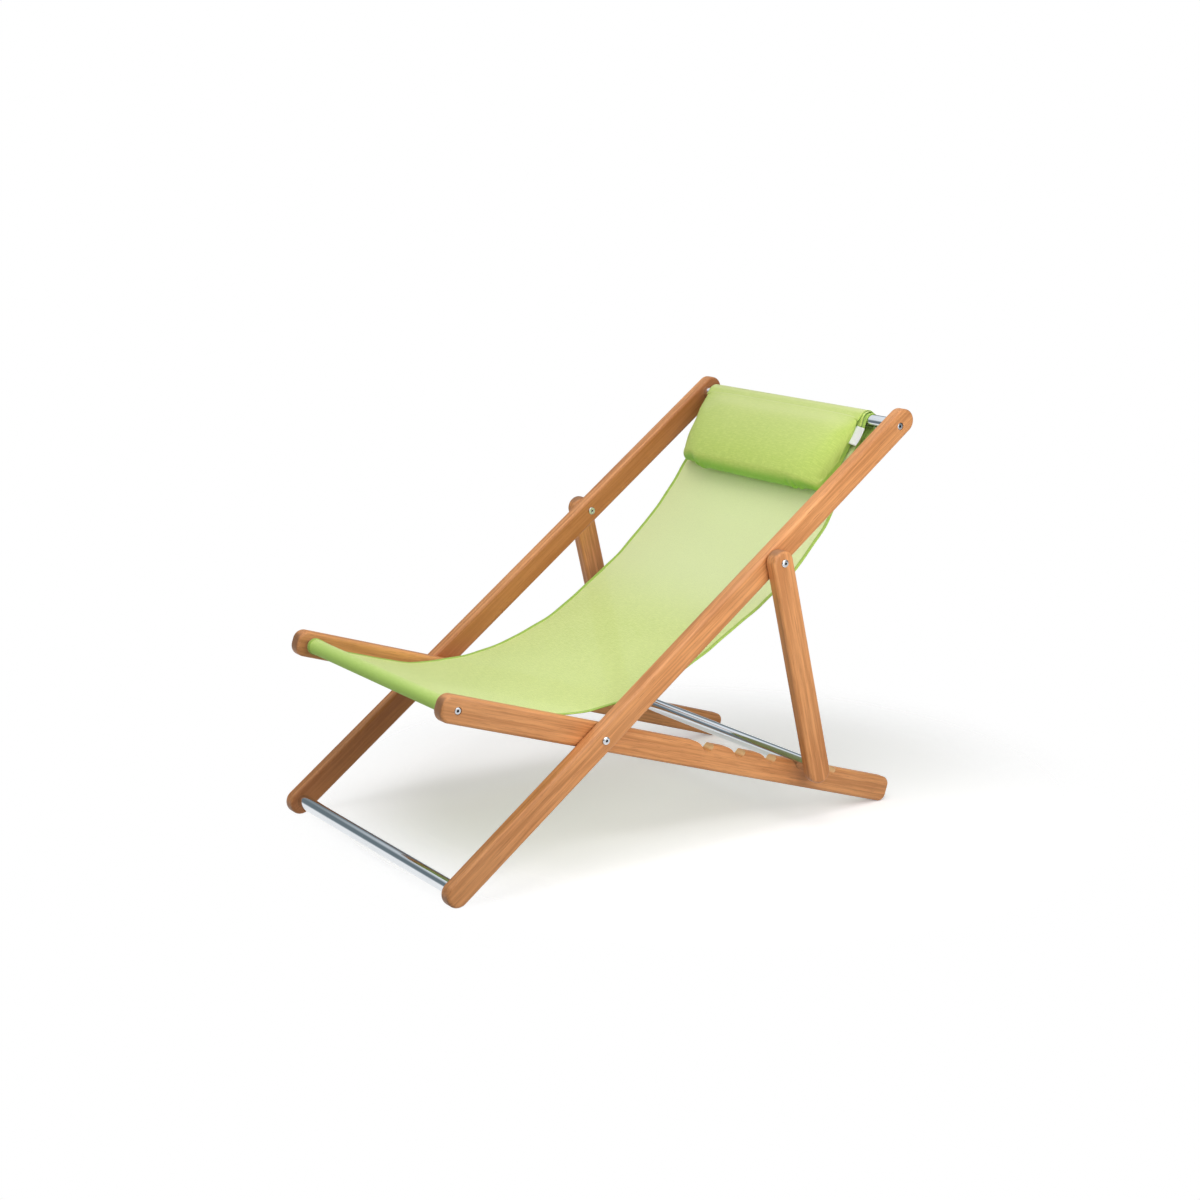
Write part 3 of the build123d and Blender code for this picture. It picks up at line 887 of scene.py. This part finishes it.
def build_stitches(finish):
    """A row of stitches along the cushion's neck, each a short thread: a small ring whose radius swells and
    tapers as the square root of 1 - t squared, carried from t = -1 to 1 along x."""
    middle = np.arange(cushion_right_end + 0.012, cushion_left_end - 0.010, stitch_pitch)
    seat = leaving_tube(cushion_neck + flap_clearance, lift_at(across_cushion(middle)), stitch_reach)
    t = np.linspace(-0.97, 0.97, 5)[:, None]
    angle = round_angles(6)
    swell = thread_radius * np.sqrt(1 - t**2)
    thread = np.broadcast_arrays(stitch_half_length * t, swell * np.cos(angle), swell * np.sin(angle))
    x = middle[:, None, None] + thread[0]
    points = headrest_place(x, seat[:, 0, None, None] + thread[1], seat[:, 1, None, None] + thread[2])
    faces = capped_quads(len(t), len(angle))
    points, faces = joined([(stitch, faces) for stitch in points])
    stitches = new_piece("neck_stitches", points, faces, uv=stacked(x, thread[1]), smooth_angle=all_smooth)
    dress(stitches, finish, "headrest", "headrest_cloth")


def build_label(finish):
    """A blank tape folded double: a flat loop, rounded at its fold, carried down the cushion's end."""
    low, high = (corner[0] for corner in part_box("label_tab"))
    sewn_in = low - label_tuck
    fold = arc((high - label_step, label_rise), label_gap, math.pi / 2, -math.pi / 2, 10)
    loop = np.concatenate([[[sewn_in, label_rise + label_gap]], fold, [[sewn_in, label_rise - label_gap]]])
    loop, _ = even_steps(loop, label_step)
    x = loop[None, :, 0]
    down = np.linspace(label_start, label_start + label_length, 22)[:, None]
    curl = label_curl * ((down - down.mean()) / label_length * 2) ** 2
    off = loop[None, :, 1] + curl * smooth_step(x, low, high)
    sag = label_sag * np.maximum(x - cushion_left_end, 0)
    along = distance_along(loop)
    faces = grid_quads(len(down), len(loop))
    label = new_piece("blank_label", headrest_place(x, down + sag, off), faces, uv=stacked(along[None], down),
                      smooth_angle=cloth_smooth)
    thicken(label, label_thickness)
    dress(label, finish, "headrest", "label_cloth", "label_tab")


def dress(piece, finish, body, slot, *nodes):
    """Give a piece its finish and its body, and hide the nodes that it stands for. The argument slot is not
    used.
    """
    piece.data.materials.clear()
    piece.data.materials.append(finish)
    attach(piece, body)
    if nodes:
        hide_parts(*nodes)


# Finishes

class Nodes:
    """Short hand for building node trees: add nodes, feed sockets and do arithmetic."""

    def __init__(self, tree):
        self.tree = tree

    def add(self, kind, **settings):
        node = self.tree.nodes.new(kind)
        for name, value in settings.items():
            setattr(node, name, value)
        return node

    def feed(self, socket, value):
        """Link a socket to another, or set its value."""
        if isinstance(value, bpy.types.NodeSocket):
            self.tree.links.new(value, socket)
        else:
            socket.default_value = value

    def fill(self, node, values):
        """Feed a node's sockets by their names."""
        for name, value in values.items():
            self.feed(node.inputs[name], value)
        return node

    def operate(self, node, values):
        """Feed a node's sockets in their order."""
        for socket, value in zip(node.inputs, values):
            self.feed(socket, value)
        return node.outputs

    def math(self, operation, *values):
        return self.operate(self.add("ShaderNodeMath", operation=operation), values)[0]

    def vector(self, operation, *values, gives="Vector"):
        return self.operate(self.add("ShaderNodeVectorMath", operation=operation), values)[gives]

    def range(self, *values):
        """A value's smooth step from low to high, given as value, low, high and what these two turn into."""
        return self.operate(self.add("ShaderNodeMapRange", interpolation_type="SMOOTHSTEP"), values)[0]

    def split(self, vector):
        return self.operate(self.add("ShaderNodeSeparateXYZ"), [vector])

    def place(self, kind):
        return self.add("ShaderNodeTexCoord").outputs[kind]

    def mix(self, share, first, second):
        node = self.add("ShaderNodeMix", data_type="RGBA")
        for index, value in ((0, share), (6, first), (7, second)):
            self.feed(node.inputs[index], value)
        return node.outputs[2]

    def noise(self, vector, scale, detail=3.0, roughness=0.55, distortion=0.0):
        values = {"Vector": vector, "Scale": scale, "Detail": detail, "Roughness": roughness}
        return self.fill(self.add("ShaderNodeTexNoise"), values | {"Distortion": distortion}).outputs[0]

    def bump(self, height, strength, distance):
        values = {"Height": height, "Strength": strength, "Distance": distance}
        return self.fill(self.add("ShaderNodeBump"), values).outputs[0]

    def group(self, tree, **values):
        """A group node with its inputs set or linked."""
        return self.fill(self.add("ShaderNodeGroup", node_tree=tree), values).outputs

    def seen(self):
        """A socket that is 1 where the camera or a reflection looks, and all sockets of the light's path."""
        rays = self.add("ShaderNodeLightPath").outputs
        return self.math("MAXIMUM", rays["Is Camera Ray"], rays["Is Glossy Ray"]), rays


def node_group(name, inputs, outputs):
    """An empty shader group with named sockets, the inputs with their kinds and the outputs all plain
    numbers. Gives its tree, its helper, the input sockets and a node that takes the outputs."""
    tree = bpy.data.node_groups.new(name, "ShaderNodeTree")
    for label, kind in inputs.items():
        tree.interface.new_socket(label, in_out="INPUT", socket_type=kind)
    for label in outputs:
        tree.interface.new_socket(label, in_out="OUTPUT", socket_type="NodeSocketFloat")
    work = Nodes(tree)
    return tree, work, work.add("NodeGroupInput").outputs, work.add("NodeGroupOutput")


def timber_grain_group():
    """Lengthwise grain of a sawn timber. Vector runs along the timber in x. Gives the figure, fine dark
    pores and their height, all 0 to 1."""
    tree, work, given, leave = node_group(
        "timber grain", {"Vector": "NodeSocketVector"}, ("Figure", "Pores", "Height"))

    def stretched(across):
        return work.vector("MULTIPLY", given["Vector"], (1.0, across, across))

    broad = work.noise(stretched(9.0), 3.2, distortion=0.3)
    fine = work.noise(stretched(42.0), 5.0, detail=5.0, roughness=0.62, distortion=0.2)
    figure = work.math("ADD", work.math("MULTIPLY", broad, 0.40), work.math("MULTIPLY", fine, 0.60))
    pores = work.range(work.noise(stretched(34.0), 30.0, detail=2.0, roughness=0.7), 0.54, 0.74)
    streak = work.noise(stretched(60.0), 9.0)
    height = work.math("SUBTRACT", work.math("MULTIPLY", streak, 0.6), work.math("MULTIPLY", pores, 0.5))
    work.fill(leave, {"Figure": figure, "Pores": pores, "Height": height})
    return tree


def weave_group():
    """Plain weave. Vector is the cloth's own place in metres, Pitch the distance between threads and Open the
    share of it that is open. Gives the gaps between threads and the height of the threads, 0 to 1."""
    tree, work, given, leave = node_group(
        "plain weave", {"Vector": "NodeSocketVector", "Pitch": "NodeSocketFloat", "Open": "NodeSocketFloat"},
        ("Gap", "Height"))
    place = work.split(work.vector("DIVIDE", given["Vector"], given["Pitch"]))
    low = work.math("SUBTRACT", 1.0, given["Open"])
    high = work.math("ADD", low, 0.25)
    gaps, cross, tops = [], [], []
    for axis in (0, 1):
        off = work.math("ABSOLUTE", work.math("SUBTRACT", work.math("FRACT", place[axis]), 0.5))
        thread = work.math("MULTIPLY", off, 2.0)
        gaps.append(work.range(thread, low, high))
        cross.append(work.math("COSINE", work.math("MULTIPLY", place[axis], math.pi)))
        tops.append(work.math("SUBTRACT", 1.0, work.math("MULTIPLY", thread, thread)))
    over = work.math("MULTIPLY_ADD", work.math("MULTIPLY", *cross), 0.5, 0.5)
    under = work.math("SUBTRACT", 1.0, over)
    height = work.math("MAXIMUM", work.math("MULTIPLY", tops[0], over), work.math("MULTIPLY", tops[1], under))
    work.fill(leave, {"Gap": work.math("MULTIPLY", *gaps), "Height": height})
    return tree


def handled_metal_group():
    """Fine lengthwise scratches and soft smears on metal. Gives a smear mask and a scratch height."""
    tree, work, given, leave = node_group(
        "handled metal", {"Vector": "NodeSocketVector"}, ("Smears", "Scratches"))
    smears = work.noise(work.vector("MULTIPLY", given["Vector"], (0.3, 1.0, 1.0)), 40.0)
    thin = work.vector("MULTIPLY", given["Vector"], (3.0, 900.0, 900.0))
    scratches = work.noise(thin, 1.0, detail=2.0)
    work.fill(leave, {"Smears": work.range(smears, 0.45, 0.75), "Scratches": scratches})
    return tree


def material(name):
    """A new node material: its tree helper and its Principled shader."""
    made = bpy.data.materials.new(name)
    made.use_nodes = True
    work = Nodes(made.node_tree)
    shader = made.node_tree.nodes["Principled BSDF"]
    return made, work, shader


def timber_finish(name, along, tree, seed, notches=None, inner=0.0):
    """Oiled hardwood whose grain runs along a side view direction. End grain is darker and pores are dark.
    The cut walls between the two places along the timber that notches gives are pale and raw. Faces towards
    the middle of the chair take the share inner of a deeper brown: painted shade, where the chair shades
    them."""
    made, work, shader = material(name)
    place, normal = work.place("Object"), work.place("Normal")
    to_along = Matrix(((0, along[0], along[1]), (1, 0, 0), (0, -along[1], along[0])))
    turn = work.fill(work.add("ShaderNodeMapping", vector_type="TEXTURE"), {
        "Vector": place, "Rotation": to_along.transposed().to_euler(), "Location": (seed, 0.0, 0.0)})
    grain = work.group(tree, Vector=turn.outputs[0])
    colour = work.mix(work.range(grain["Figure"], 0.38, 0.61), timber_deep, timber_light)
    colour = work.mix(work.math("MULTIPLY", grain["Pores"], 0.68), colour, timber_pore)
    patch = work.noise(turn.outputs[0], 5.0, detail=2.0)
    colour = work.mix(work.range(patch, 0.40, 0.75, 0.0, 0.16), colour, timber_patch)
    # painted shade: a deeper brown on faces that look towards the middle of the chair
    if inner:
        away = work.math("MULTIPLY", work.split(place)[0], work.split(normal)[0])
        colour = work.mix(work.range(away, -0.22, -0.08, inner, 0.0), colour, timber_painted_shade)
    lengthwise = (0, along[0], along[1])
    facing = work.vector("DOT_PRODUCT", normal, lengthwise, gives="Value")
    end = work.range(work.math("ABSOLUTE", facing), 0.62, 0.96, 0.0, 0.80)
    cross_cut = timber_end
    if notches:
        reach = work.vector("DOT_PRODUCT", place, lengthwise, gives="Value")
        inside = [work.math("GREATER_THAN", reach, notches[0]), work.math("LESS_THAN", reach, notches[1])]
        cross_cut = work.mix(work.math("MULTIPLY", *inside), timber_end, timber_raw)
    rough = work.math("MULTIPLY_ADD", grain["Figure"], 0.15, 0.36)
    work.fill(shader, {
        "Base Color": work.mix(end, colour, cross_cut),
        "Roughness": work.math("ADD", work.math("MULTIPLY", grain["Pores"], 0.2), rough),
        "Normal": work.bump(grain["Height"], 0.35, 0.0006),
        "Specular IOR Level": 0.45,
    })
    return made


def metal_finish(name, tree, colour, dull, rough, scratch, socket_shade=None):
    """Metal with smears that dull it and fine scratches, and painted shade in the sockets."""
    made, work, shader = material(name)
    marks = work.group(tree, Vector=work.place("Object"))
    colour = work.mix(marks["Smears"], colour, dull)
    # painted shade: the hexagon sockets turn near black
    if socket_shade:
        socket = work.add("ShaderNodeAttribute", attribute_name="socket")
        colour = work.mix(socket.outputs["Fac"], colour, socket_shade)
    work.fill(shader, {
        "Base Color": colour,
        "Roughness": work.math("MULTIPLY_ADD", marks["Smears"], rough * 0.7, rough),
        "Normal": work.bump(marks["Scratches"], scratch, 0.0002),
        "Metallic": 1.0,
    })
    return made


def cloth_finish(name, tree, thread, shade, pitch, opening, through, sheen, painted_shade=None, painted_top_light=None, loops=None,
                 painted_backlight=None):
    """Woven cloth: the thread colour on the high parts of the weave and painted shade in its low parts, slow
    colour drift, uneven threads and gaps that let through.
    The deep colour is painted shade: within a distance of the cloth's two ends, where it loops round the
    tubes, if loops gives (length of the cloth, distance), and otherwise where the cloth faces down. A paler
    colour is painted light where the cloth faces up, and another is painted light in its upper half, where
    light shines through from behind."""
    made, work, shader = material(name)
    place = work.add("ShaderNodeUVMap", uv_map="cloth").outputs[0]
    weave = work.group(tree, Vector=place, Pitch=pitch, Open=opening)
    lighter = tuple(min(1.0, c * 1.12) for c in thread[:3]) + (1,)
    # painted shade: the low parts of the weave take the shade colour
    colour = work.mix(weave["Height"], shade, thread)
    colour = work.mix(work.range(work.noise(place, 9.0), 0.3, 0.75, 0.0, 0.16), colour, lighter)
    for run, tone in (((480.0, 70.0, 1.0), shade), ((70.0, 480.0, 1.0), lighter)):
        slub = work.noise(work.vector("MULTIPLY", place, run), 1.0, detail=1.0)
        colour = work.mix(work.range(slub, 0.46, 0.66, 0.0, 0.36), colour, tone)
    upwards, down_cloth = work.split(work.place("Normal"))[2], work.split(place)[1]
    # painted light: paler where the cloth faces up
    if painted_top_light:
        colour = work.mix(work.range(upwards, 0.55, 0.95, 0.0, 0.6), colour, painted_top_light)
    # painted shade: a deeper colour where the cloth faces down
    if painted_shade and not loops:
        colour = work.mix(work.range(upwards, -0.55, 0.22, 0.75, 0.0), colour, painted_shade)
    # painted light: paler in the cloth's upper half, as where light shines through from behind
    if painted_backlight:
        colour = work.mix(work.range(down_cloth, 0.44, 0.62, 0.8, 0.0), colour, painted_backlight)
    # painted shade on the loops round the tubes
    if loops:
        from_end = work.math("MINIMUM", down_cloth, work.math("SUBTRACT", loops[0], down_cloth))
        colour = work.mix(work.range(from_end, loops[1] - 0.030, loops[1] + 0.006, 0.85, 0.0), colour, painted_shade)
    if through:
        gaps = work.math("MULTIPLY", weave["Gap"], through)
        work.feed(shader.inputs["Alpha"], work.math("SUBTRACT", 1.0, gaps))
    work.fill(shader, {
        "Base Color": colour,
        "Roughness": work.math("MULTIPLY_ADD", weave["Height"], -0.12, 0.74),
        "Normal": work.bump(weave["Height"], 0.5, pitch * 0.35),
        "Sheen Weight": sheen,
        "Sheen Roughness": 0.5,
        "Specular IOR Level": 0.3,
    })
    return made


grain_tree = timber_grain_group()
weave_tree = weave_group()
metal_tree = handled_metal_group()

# The back rails carry painted shade on their inner faces.
back_timber = timber_finish("oiled hardwood, back", back_along, grain_tree, 0.0, inner=0.6)
notch_zone = main_pivot @ seat_along + np.array([0.19, 0.54])
seat_timber = timber_finish("oiled hardwood, seat", seat_along, grain_tree, 3.1, notch_zone.tolist())
prop_timber = timber_finish("oiled hardwood, prop", prop_along, grain_tree, 5.7)
chrome = metal_finish("polished tube", metal_tree, (0.76, 0.79, 0.82, 1), (0.70, 0.73, 0.76, 1), 0.07, 0.03)
steel = metal_finish(
    "plated steel", metal_tree, (0.62, 0.64, 0.67, 1), (0.48, 0.50, 0.52, 1), 0.16, 0.10,
    socket_shade=(0.03, 0.03, 0.03, 1))
sling_mesh = cloth_finish(
    "sling mesh", weave_tree, (0.80, 0.90, 0.37, 1), (0.63, 0.78, 0.22, 1), 0.0016, 0.45, 0.22, 0.15,
    painted_shade=(0.54, 0.90, 0.13, 1), loops=(sling_path()[1], 0.106), painted_backlight=(0.82, 0.92, 0.49, 1))
hem_cloth = cloth_finish(
    "sling hem", weave_tree, (0.47, 0.66, 0.14, 1), (0.32, 0.52, 0.06, 1), 0.0013, 0.2, 0.0, 0.15)
cushion_cloth = cloth_finish(
    "headrest weave", weave_tree, (0.64, 0.76, 0.20, 1), (0.46, 0.65, 0.10, 1), 0.0012, 0.2, 0.0, 0.20,
    painted_shade=(0.20, 0.58, 0.030, 1), painted_top_light=(0.84, 0.90, 0.43, 1))
seam_thread = cloth_finish(
    "seam thread", weave_tree, (0.80, 0.86, 0.48, 1), (0.66, 0.75, 0.32, 1), 0.0005, 0.2, 0.0, 0.20)
label_tape = cloth_finish(
    "label tape", weave_tree, (0.95, 0.95, 0.93, 1), (0.84, 0.84, 0.82, 1), 0.0007, 0.2, 0.0, 0.1)


# Build

build_back_rails(back_timber)
build_seat_rails(seat_timber)
build_prop_legs(prop_timber)
for tube_node, tube_body in (("top_tube", "back_frame"), ("foot_tube", "back_frame"),
                             ("front_tube", "seat_frame"), ("prop_bar", "prop_frame")):
    build_tube(tube_node, tube_body, chrome)

for node, body, axis, timber_x in (("top_tube_screws", "back_frame", top_axis, back_rail_x),
                                   ("front_tube_screws", "seat_frame", front_axis, seat_rail_x)):
    build_heads(node, body, steel, timber_x + half_rail - screw_recess_depth, axis, screw_head)
for pivot, axis, inner_x, outer_x in (("seat_pivot", main_pivot, seat_rail_x, back_rail_x),
                                      ("prop_pivot", prop_pivot, back_rail_x, prop_leg_x)):
    outer_seat, inner_seat = outer_x + half_rail + side_play, inner_x - half_rail - side_play
    build_heads(f"{pivot}_bolts", "back_frame", steel, outer_seat, axis, bolt_head)
    build_heads(f"{pivot}_nuts", "back_frame", steel, inner_seat, axis, nut_head, inward=True)
for node in ("seat_pivot_washers", "prop_pivot_washers", "top_tube_plugs", "front_tube_plugs", "flap_weight"):
    carried = frame["nodes"][node]
    carried.data.materials.clear()
    carried.data.materials.append(steel)

build_sling(sling_mesh, hem_cloth)
build_cushion(cushion_cloth)
build_flap(cushion_cloth)
build_stitches(seam_thread)
build_label(label_tape)


# Stage

def disc(name, radius, height):
    """Rings of points round the z axis, each with its own radius and height, joined one to the next."""
    flat = np.asarray(radius)[:, None, None] * directions(round_angles(96))
    points = stacked(flat[..., 0], flat[..., 1], np.asarray(height)[:, None])
    return new_piece(name, points, grid_quads(*flat.shape[:2], close_columns=True))


def build_floor():
    """A pale disc under the chair that fades out into the white surroundings. It ends at the front feet,
    where it would hide the folded seat rails. Light that it throws back on the chair is softer than what the
    camera and the metal see of it."""
    radius = np.array([0.001, 0.4, 1.0, 2.0, 4.0])
    floor = disc("floor", radius, np.zeros_like(radius))
    made, work, shader = material("pale floor")
    place, (seen, _) = work.place("Object"), work.seen()
    pale = work.mix(work.noise(place, 14.0), (0.965, 0.965, 0.965, 1), (0.985, 0.985, 0.985, 1))
    reach = work.vector("DISTANCE", place, (0, 0.22, 0), gives="Value")
    work.fill(shader, {
        "Base Color": work.mix(seen, (0.45, 0.45, 0.45, 1), pale),
        "Emission Color": (1, 1, 1, 1),
        "Emission Strength": work.math("MULTIPLY", seen, 0.28),
        "Roughness": 0.9,
        "Specular IOR Level": 0.1,
        "Alpha": work.range(reach, 0.44, 0.76, 1.0, 0.0),
    })
    floor.data.materials.append(made)


def build_surround():
    """A studio wall all round that only reflections show: dark at middle height, pale above and a little
    paler at its foot, so that polished tubes show dark lengthwise streaks."""
    wall = disc("surround", np.full(4, 3.0), np.array([0.05, 1.2, 2.4, 3.6]))
    made, work, shader = material("studio grey")
    height = work.split(work.place("Object"))[2]
    pale = work.math("MAXIMUM", work.range(height, 1.5, 2.5), work.range(height, 0.1, 0.5, 0.5, 0.0))
    work.fill(shader, {
        "Emission Color": work.mix(pale, (0.17, 0.21, 0.23, 1), (0.90, 0.94, 0.98, 1)),
        "Emission Strength": 1.0,
        "Base Color": (0, 0, 0, 1),
        "Roughness": 1.0,
        "Specular IOR Level": 0.0,
    })
    wall.data.materials.append(made)
    wall.visible_camera = wall.visible_diffuse = wall.visible_shadow = wall.visible_transmission = False


def build_world():
    """White surroundings: strength 1 where the camera, metal or clear things see them, softer as light."""
    world = bpy.data.worlds.new("studio")
    world.use_nodes = True
    scene.world = world
    work = Nodes(world.node_tree)
    seen, rays = work.seen()
    seen = work.math("MAXIMUM", seen, rays["Is Transmission Ray"])
    strength = work.range(seen, 0.0, 1.0, 0.30, 1.0)
    work.fill(world.node_tree.nodes["Background"], {"Color": (1, 1, 1, 1), "Strength": strength})


def build_lamp(name, place, aim, size, power):
    """A soft square lamp."""
    lamp = bpy.data.lights.new(name, "AREA")
    lamp.size = size
    lamp.energy = power
    holder = bpy.data.objects.new(name, lamp)
    holder.location = place
    holder.rotation_euler = (Vector(aim) - Vector(place)).to_track_quat("-Z", "Y").to_euler()
    scene.collection.objects.link(holder)


def build_camera():
    """The photograph's view: azimuth and elevation round the aim point, and a small roll."""
    azimuth, elevation, roll = math.radians(55.46), math.radians(13.10), math.radians(0.18)
    distance, aim = 3.522, Vector((0.0, 0.0081, 0.3705))
    focal_pixels, picture_pixels, sensor = 2066, 1200, 36.0
    level = math.cos(elevation)
    back = Vector((math.sin(azimuth) * level, -math.cos(azimuth) * level, math.sin(elevation)))
    lens = bpy.data.cameras.new("camera")
    lens.sensor_width = sensor
    lens.lens = sensor * focal_pixels / picture_pixels
    holder = bpy.data.objects.new("camera", lens)
    right = (-back).cross(Vector((0, 0, 1))).normalized()
    up = right.cross(-back)
    right, up = math.cos(roll) * right + math.sin(roll) * up, math.cos(roll) * up - math.sin(roll) * right
    turn = Matrix((right, up, back)).transposed()
    holder.matrix_world = Matrix.Translation(aim + back * distance) @ turn.to_4x4()
    scene.collection.objects.link(holder)
    scene.camera = holder


build_floor()
build_surround()
build_world()
build_lamp("top", (0.4, -0.5, 3.2), (0, 0, 0.3), 2.0, 34)
build_lamp("side", (1.0, 0.05, 0.7), (0.25, 0.05, 0.35), 0.9, 6.5)
build_lamp("fill", (-0.6, -2.9, 2.6), (0, 0, 0.3), 2.0, 18)
build_camera()
scene.view_settings.view_transform = "Standard"
